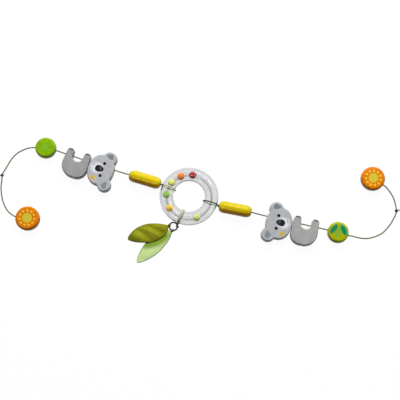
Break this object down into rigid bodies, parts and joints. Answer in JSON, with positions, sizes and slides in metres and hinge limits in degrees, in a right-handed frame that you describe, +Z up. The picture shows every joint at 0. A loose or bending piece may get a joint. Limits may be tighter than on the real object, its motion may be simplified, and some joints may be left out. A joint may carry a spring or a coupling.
{
  "type": "pram chain toy",
  "caption": "Pram chain: elastic cord strung with koala figures, discs and long beads on both sides of a clear rattle ring, with cloth leaves.",
  "frame": {"origin": "middle of the toy's box on the table, with the free tails of cord left out", "axes": "+Z up from the table, +X along the chain towards the right-hand side, +Y away from the leaves, across the chain"},
  "size_m": [0.4678, 0.1475, 0.0192],
  "materials": {
    "clear_plastic": "clear, glossy",
    "orange_ball": "glossy",
    "red_ball": "glossy",
    "pale_lime_ball": "glossy",
    "green_ball": "glossy",
    "amber_ball": "glossy",
    "lime_ball": "glossy",
    "olive_cord": "round elastic cord with a woven cover",
    "pale_cord": "woven, pale green",
    "dark_cord": "tightly pulled cord",
    "yellow_lacquer": "glossy lacquer",
    "orange_lacquer": "lacquer with a printed blossom",
    "green_lacquer": "lacquer with printed leaves",
    "light_grey_lacquer": "lacquer with a printed face",
    "grey_lacquer": "lacquer",
    "olive_cloth": "woven, lined",
    "pale_green_cloth": "thin, sheer"
  },
  "bodies": {
    "ring": {"ring_upper_shell": "clear_plastic", "ring_lower_shell": "clear_plastic"},
    "ball_orange": {"rattle_ball_orange": "orange_ball"},
    "ball_red": {"rattle_ball_red": "red_ball"},
    "ball_pale_lime": {"rattle_ball_pale_lime": "pale_lime_ball"},
    "ball_green": {"rattle_ball_green": "green_ball"},
    "ball_amber": {"rattle_ball_amber": "amber_ball"},
    "ball_lime": {"rattle_ball_lime": "lime_ball"},
    "left_strand": {"left_ring_loop": "olive_cord", "left_loop_knot": "dark_cord", "left_cord": "olive_cord"},
    "left_bead": {"left_long_bead": "yellow_lacquer"},
    "left_head": {"left_koala_head": "light_grey_lacquer"},
    "left_body": {"left_koala_body": "grey_lacquer"},
    "left_green_disc": {"left_leaf_disc": "green_lacquer"},
    "left_tail": {"left_tail_cord": "olive_cord", "left_tail_knot": "dark_cord", "left_end_knot": "dark_cord"},
    "left_orange_disc": {"left_end_disc": "orange_lacquer"},
    "right_strand": {"right_ring_loop": "olive_cord", "right_loop_knot": "dark_cord", "right_cord": "olive_cord"},
    "right_bead": {"right_long_bead": "yellow_lacquer"},
    "right_head": {"right_koala_head": "light_grey_lacquer"},
    "right_body": {"right_koala_body": "grey_lacquer"},
    "right_green_disc": {"right_leaf_disc": "green_lacquer"},
    "right_tail": {"right_tail_cord": "olive_cord", "right_tail_knot": "dark_cord", "right_end_knot": "dark_cord"},
    "right_orange_disc": {"right_end_disc": "orange_lacquer"},
    "leaf_hanger": {"hanger_loop": "pale_cord", "hanger_knot": "dark_cord", "leaf_cord_ring": "dark_cord"},
    "olive_leaf_body": {"olive_leaf": "olive_cloth"},
    "light_leaf_body": {"light_leaf": "pale_green_cloth"}
  },
  "joints": [
    {"name": "orange_ball_roll", "type": "hinge", "parent": "ring", "child": "ball_orange", "pos_m": [-0.014, 0.0024, 0.0077], "axis": [0, 0, 1], "range_deg": [-5.3, 4.4]},
    {"name": "red_ball_roll", "type": "hinge", "parent": "ring", "child": "ball_red", "pos_m": [-0.014, 0.0024, 0.0077], "axis": [0, 0, 1], "range_deg": [-75, 5.3]},
    {"name": "pale_lime_ball_roll", "type": "hinge", "parent": "ring", "child": "ball_pale_lime", "pos_m": [-0.014, 0.0024, 0.0077], "axis": [0, 0, 1], "range_deg": [-4.4, 6.7]},
    {"name": "green_ball_roll", "type": "hinge", "parent": "ring", "child": "ball_green", "pos_m": [-0.014, 0.0024, 0.0077], "axis": [0, 0, 1], "range_deg": [-6.7, 7.9]},
    {"name": "amber_ball_roll", "type": "hinge", "parent": "ring", "child": "ball_amber", "pos_m": [-0.014, 0.0024, 0.0077], "axis": [0, 0, 1], "range_deg": [-7.9, 29.6]},
    {"name": "lime_ball_roll", "type": "hinge", "parent": "ring", "child": "ball_lime", "pos_m": [-0.014, 0.0024, 0.0077], "axis": [0, 0, 1], "range_deg": [-29.6, 75]},
    {"name": "left_strand_swing", "type": "hinge", "parent": "ring", "child": "left_strand", "pos_m": [-0.014, 0.0024, 0.0096], "axis": [0, 0, 1], "range_deg": [-45, 15]},
    {"name": "left_bead_spin", "type": "hinge", "parent": "left_strand", "child": "left_bead", "pos_m": [-0.04728, 0.01764, 0.00705], "axis": [-0.9558, 0.294, 0], "continuous": true},
    {"name": "left_head_spin", "type": "hinge", "parent": "left_strand", "child": "left_head", "pos_m": [-0.11423, 0.03936, 0.005], "axis": [-0.9455, 0.3256, 0], "continuous": true},
    {"name": "left_body_spin", "type": "hinge", "parent": "left_strand", "child": "left_body", "pos_m": [-0.14427, 0.0497, 0.005], "axis": [-0.9455, 0.3256, 0], "continuous": true},
    {"name": "left_green_disc_spin", "type": "hinge", "parent": "left_strand", "child": "left_green_disc", "pos_m": [-0.18272, 0.0605, 0.005], "axis": [-0.9903, 0.1392, 0], "continuous": true},
    {"name": "left_tail_swing", "type": "hinge", "parent": "left_strand", "child": "left_tail", "pos_m": [-0.1947, 0.06218, 0.005], "axis": [0, 0, 1], "range_deg": [-20, 20]},
    {"name": "left_orange_disc_spin", "type": "hinge", "parent": "left_tail", "child": "left_orange_disc", "pos_m": [-0.2003, -0.02285, 0.005], "axis": [0.9885, -0.1513, 0], "continuous": true},
    {"name": "right_strand_swing", "type": "hinge", "parent": "ring", "child": "right_strand", "pos_m": [-0.014, 0.0024, 0.0096], "axis": [0, 0, 1], "range_deg": [-30, 45]},
    {"name": "right_bead_spin", "type": "hinge", "parent": "right_strand", "child": "right_bead", "pos_m": [0.02093, -0.00854, 0.00705], "axis": [0.981, -0.1942, 0], "continuous": true},
    {"name": "right_head_spin", "type": "hinge", "parent": "right_strand", "child": "right_head", "pos_m": [0.08977, -0.02321, 0.005], "axis": [0.9744, -0.225, 0], "continuous": true},
    {"name": "right_body_spin", "type": "hinge", "parent": "right_strand", "child": "right_body", "pos_m": [0.12072, -0.03036, 0.005], "axis": [0.9744, -0.225, 0], "continuous": true},
    {"name": "right_green_disc_spin", "type": "hinge", "parent": "right_strand", "child": "right_green_disc", "pos_m": [0.15755, -0.03927, 0.005], "axis": [0.9664, -0.2571, 0], "continuous": true},
    {"name": "right_tail_swing", "type": "hinge", "parent": "right_strand", "child": "right_tail", "pos_m": [0.16924, -0.04239, 0.005], "axis": [0, 0, 1], "range_deg": [-20, 20]},
    {"name": "right_orange_disc_spin", "type": "hinge", "parent": "right_tail", "child": "right_orange_disc", "pos_m": [0.20035, 0.02446, 0.005], "axis": [-0.8526, 0.5225, 0], "continuous": true},
    {"name": "leaf_hanger_slide_round", "type": "hinge", "parent": "ring", "child": "leaf_hanger", "pos_m": [-0.014, 0.0024, 0.0096], "axis": [0, 0, 1], "range_deg": [-15, 30]},
    {"name": "olive_leaf_lift", "type": "hinge", "parent": "leaf_hanger", "child": "olive_leaf_body", "pos_m": [-0.03663, -0.03016, 0.00215], "axis": [0.2924, 0.9563, 0], "range_deg": [0, 70]},
    {"name": "light_leaf_slide_round", "type": "hinge", "parent": "leaf_hanger", "child": "light_leaf_body", "pos_m": [-0.03214, -0.03154, 0.00215], "axis": [0, 0, 1], "range_deg": [0, 40]}
  ]
}
